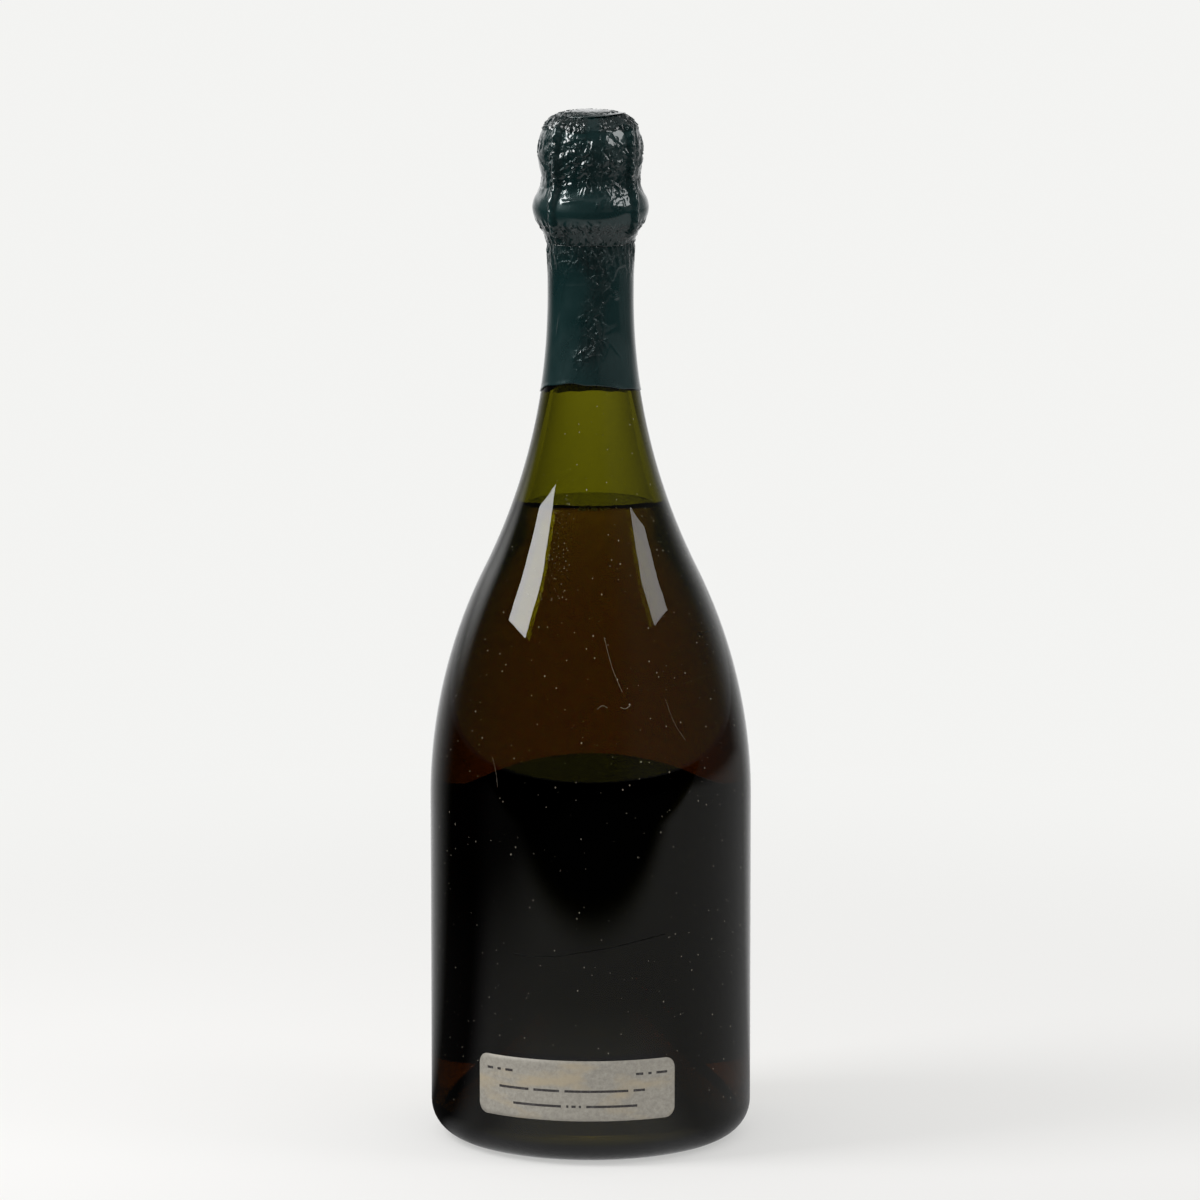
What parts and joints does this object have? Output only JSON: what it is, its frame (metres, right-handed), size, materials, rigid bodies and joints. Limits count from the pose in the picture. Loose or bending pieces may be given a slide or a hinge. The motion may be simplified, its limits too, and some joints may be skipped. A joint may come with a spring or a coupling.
{
  "type": "champagne bottle",
  "caption": "Full, sealed bottle of sparkling wine: dark green glass with a punt, mushroom cork, plaque, wire cage with its loop, foil and labels.",
  "frame": {"origin": "centre of the foot ring, on the plane that the bottle stands on", "axes": "+Z along the bottle's axis towards the cork; -Y towards the small back label; +Y towards the front label and the folded wire loop"},
  "size_m": [0.092, 0.0922, 0.2953],
  "materials": {
    "green_glass": "gloss",
    "wine": "gloss",
    "back_label_paper": "satin",
    "front_label_paper": "satin",
    "foil": "gloss",
    "pressed_cork": "matte",
    "natural_cork": "matte",
    "plaque": "satin",
    "cage_wire": "satin"
  },
  "bodies": {
    "bottle": {"glass_bottle": "green_glass", "wine": "wine", "back_label": "back_label_paper", "front_label": "front_label_paper", "foil_neck": "foil"},
    "cork": {"cork_body": "pressed_cork", "cork_disc_upper": "natural_cork", "cork_disc_lower": "natural_cork"},
    "cage": {"plaque": "plaque", "cage_ring": "cage_wire", "cage_leg_1": "cage_wire", "cage_leg_2": "cage_wire", "cage_leg_3": "cage_wire", "cage_leg_4": "cage_wire", "cage_belt": "cage_wire"},
    "loop": {"wire_loop": "cage_wire"},
    "hood": {"foil_hood": "foil", "foil_top_disc": "foil"}
  },
  "joints": [
    {"name": "cork_pull", "type": "slide", "parent": "bottle", "child": "cork", "axis": [0, 0, 1], "range_m": [0, 0.028]},
    {"name": "cage_lift", "type": "slide", "parent": "cork", "child": "cage", "axis": [0, 0, 1], "range_m": [0, 0.038], "deforming": ["cage_leg_1", "cage_leg_2", "cage_leg_3", "cage_leg_4", "cage_belt"]},
    {"name": "loop_swing", "type": "hinge", "parent": "cage", "child": "loop", "pos_m": [0, 0.0169, 0.2626], "axis": [-1, 0, 0], "range_deg": [0, 90]},
    {"name": "hood_lift", "type": "slide", "parent": "cage", "child": "hood", "axis": [0, 0, 1], "range_m": [0, 0.042], "deforming": ["foil_hood"]}
  ]
}
